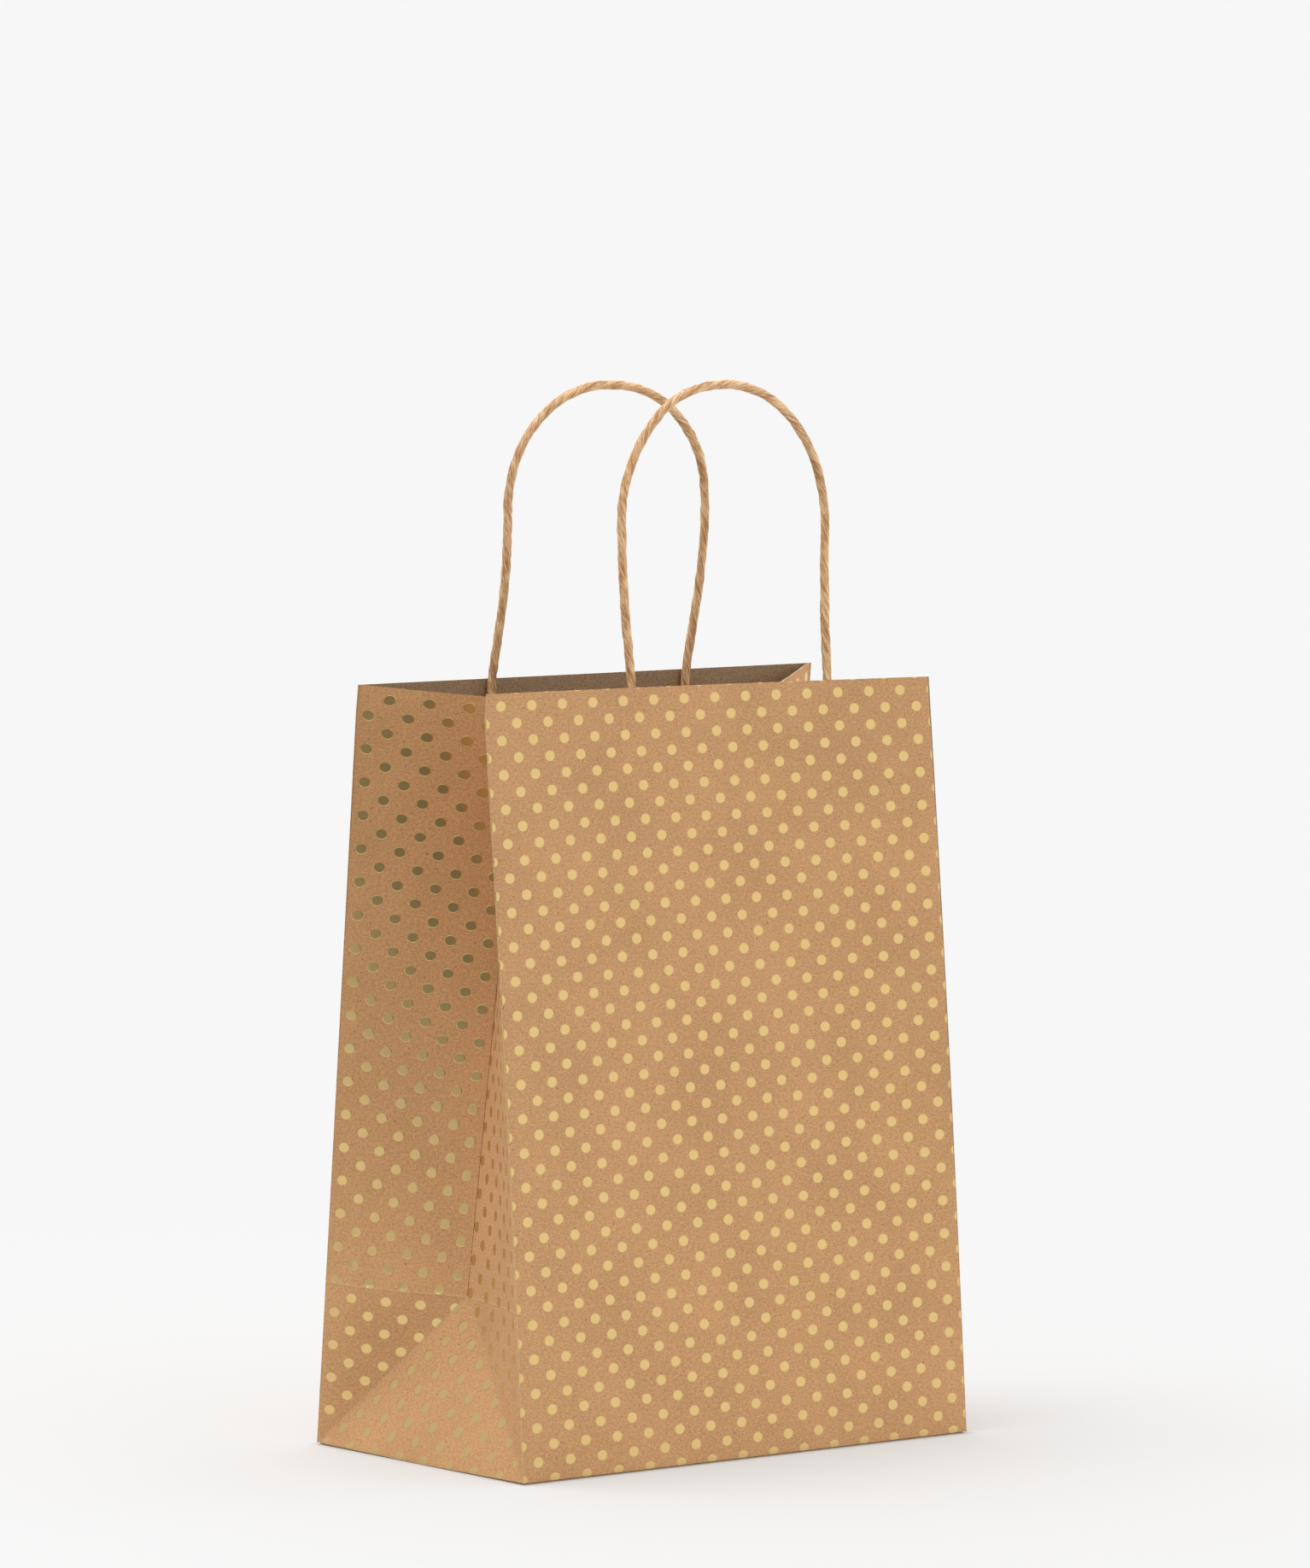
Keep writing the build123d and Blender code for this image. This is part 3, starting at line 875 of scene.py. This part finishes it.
def build_seam(plain_stack):
    piece = seam_flap(plain_stack)
    stand_for("side_seam_flap")
    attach(piece, "back")


# ---- studio ---------------------------------------------------------------------------------------------
BACKGROUND = 0.93
FLOOR_ALBEDO = 0.55
FLOOR_GLOW = 0.262
# Reach of the painted contact shadow round the bag's foot, where the floor's glow dims.
PAINTED_CONTACT_SHADOW_REACH = 4 * MM
FLOOR_SOLID = 0.22
FLOOR_GONE = 0.75
STUDIO_LEVEL = 1.0
KEY_PLACE = (-0.8, 0.5, 2.9)
KEY_AIM = (0, 0, 0.12)
KEY_SIZE = 2.0
KEY_POWER = 37
# Cards in the studio, darker below a share of 1 and brighter above it: direction, the cosines of
# the angle to it where the card begins and is full, and the share of the studio's light it has.
CARDS = [
    ((-0.615, -0.788, -0.03), 0.866, 0.956, 0.15),
    ((-0.791, -0.554, 0.259), 0.35, 0.95, 0.78),
    ((-0.890, 0.160, -0.427), 0.40, 0.95, 0.38),
    ((-0.988, 0.0, 0.156), 0.978, 0.994, 0.22),
    ((-0.983, 0.121, -0.139), 0.970, 0.992, 2.6),
    ((-0.986, -0.156, -0.052), 0.975, 0.993, 2.6),
    ((-0.47, 0.77, 0.43), 0.80, 0.95, 0.75),
]


def build_floor():
    """A pale floor that glows and fades out into the background, so that no horizon shows. Its glow dims
    round the bag's foot, which paints a contact shadow there.
    """
    size = 3.0
    mesh = bpy.data.meshes.new("floor")
    corners = [(-size, -size, 0), (size, -size, 0), (size, size, 0), (-size, size, 0)]
    mesh.from_pydata(corners, [], [(0, 1, 2, 3)])
    floor = add_object("floor", mesh)
    graph = MaterialGraph("floor_white")
    place = graph.node("ShaderNodeTexCoord").outputs["Object"]
    solid = graph.remap(graph.vector("LENGTH", place), FLOOR_SOLID, FLOOR_GONE, 1.0, 0.0)
    graph.shader.inputs["Roughness"].default_value = 0.9
    graph.shader.inputs["Specular IOR Level"].default_value = 0.0
    graph.shader.inputs["Emission Color"].default_value = (1, 1, 1, 1)
    split = graph.node("ShaderNodeSeparateXYZ", {"Vector": place})
    beside_x = graph.math("SUBTRACT", graph.math("ABSOLUTE", split.outputs["X"]), HALF_WIDTH)
    beside_y = graph.math("SUBTRACT", graph.math("ABSOLUTE", split.outputs["Y"]), HALF_DEPTH)
    away = graph.math("MAXIMUM", beside_x, beside_y)
    # Painted contact shadow: the floor's glow fades to nothing at the bag's footprint, so the floor darkens
    # there.
    glow_with_painted_contact_shadow = graph.remap(away, -PAINTED_CONTACT_SHADOW_REACH, PAINTED_CONTACT_SHADOW_REACH, 0.0, FLOOR_GLOW)
    graph.feed(graph.shader.inputs["Emission Strength"], glow_with_painted_contact_shadow)
    mesh.materials.append(graph.finish(Base_Color=(FLOOR_ALBEDO,) * 3 + (1,), Alpha=solid))


def build_world():
    """A white studio all round, with soft cards that the foil mirrors."""
    world = bpy.data.worlds.new("studio")
    world.use_nodes = True
    tree = world.node_tree
    graph = Graph(tree)
    direction = graph.node("ShaderNodeTexCoord").outputs["Generated"]
    studio = STUDIO_LEVEL
    for card, begins, full, level in CARDS:
        towards = graph.node("ShaderNodeVectorMath", operation="DOT_PRODUCT")
        graph.feed(towards.inputs[0], direction)
        towards.inputs[1].default_value = card
        share = graph.remap(towards.outputs["Value"], begins, full, 1.0, level)
        studio = graph.math("MULTIPLY", studio, share)
    seen = graph.node("ShaderNodeLightPath").outputs["Is Camera Ray"]
    level = graph.mix(seen, studio, (BACKGROUND, BACKGROUND, BACKGROUND, 1))
    graph.feed(tree.nodes["Background"].inputs["Color"], level)
    bpy.context.scene.world = world


def area_light(name, place, aim, size, power):
    """A square light at a place, turned to face its aim."""
    light = bpy.data.lights.new(name, "AREA")
    light.shape = "SQUARE"
    light.size = size
    light.energy = power
    holder = add_object(name, light)
    holder.location = place
    holder.rotation_euler = (Vector(aim) - Vector(place)).to_track_quat("-Z", "Y").to_euler()


CAMERA_AZIMUTH = math.radians(39.72)
CAMERA_ELEVATION = math.radians(4.02)
CAMERA_ROLL = math.radians(0.50)
CAMERA_DISTANCE = 2.5727
CAMERA_LENS = 188.2
CAMERA_AIM = (0.0026, 0.1062)


def build_camera():
    """The camera's axis passes beside the point 0.1 m up the middle of the bag by CAMERA_AIM."""
    a, e, r = CAMERA_AZIMUTH, CAMERA_ELEVATION, CAMERA_ROLL
    back = Vector((-math.sin(a) * math.cos(e), -math.cos(a) * math.cos(e), math.sin(e)))
    level = Vector((0, 0, 1)).cross(back).normalized()
    rise = back.cross(level)
    right = math.cos(r) * level + math.sin(r) * rise
    up = math.cos(r) * rise - math.sin(r) * level
    aim = Vector((0, 0, 0.1)) + CAMERA_AIM[0] * right + CAMERA_AIM[1] * up
    data = bpy.data.cameras.new("camera")
    data.lens = CAMERA_LENS
    data.clip_end = 100
    holder = add_object("camera", data)
    place = Matrix((right, up, back)).transposed().to_4x4()
    place.translation = aim + back * CAMERA_DISTANCE
    holder.matrix_world = place
    bpy.context.scene.camera = holder


def build_bag():
    """Every piece, with its materials: printed face, other face and cut edge."""
    printed = printed_kraft()
    inside = plain_kraft("inside_kraft", INSIDE_LIGHT, INSIDE_DARK)
    patching = plain_kraft("patch_kraft", KRAFT_LIGHT, KRAFT_DARK)
    cord = twisted_paper()
    cut = plain_kraft("cut_edge", CUT_LIGHT, CUT_DARK)
    printed_stack = (printed, inside, cut)
    plain_stack = (inside, inside, cut)
    patch_stack = (patching, patching, cut)
    build_panels(printed_stack)
    build_gussets(printed_stack)
    build_bottom(printed_stack, plain_stack)
    build_seam(plain_stack)
    build_handle("front", "front", FRONT_ARCH, FRONT_HANDLE_LEAN, 41, cord, patch_stack)
    build_handle("rear", "back", BACK_ARCH, BACK_HANDLE_LEAN, 42, cord, patch_stack)


build_camera()
build_bag()
build_floor()
build_world()
area_light("key", KEY_PLACE, KEY_AIM, KEY_SIZE, KEY_POWER)
bpy.context.scene.view_settings.view_transform = "Standard"
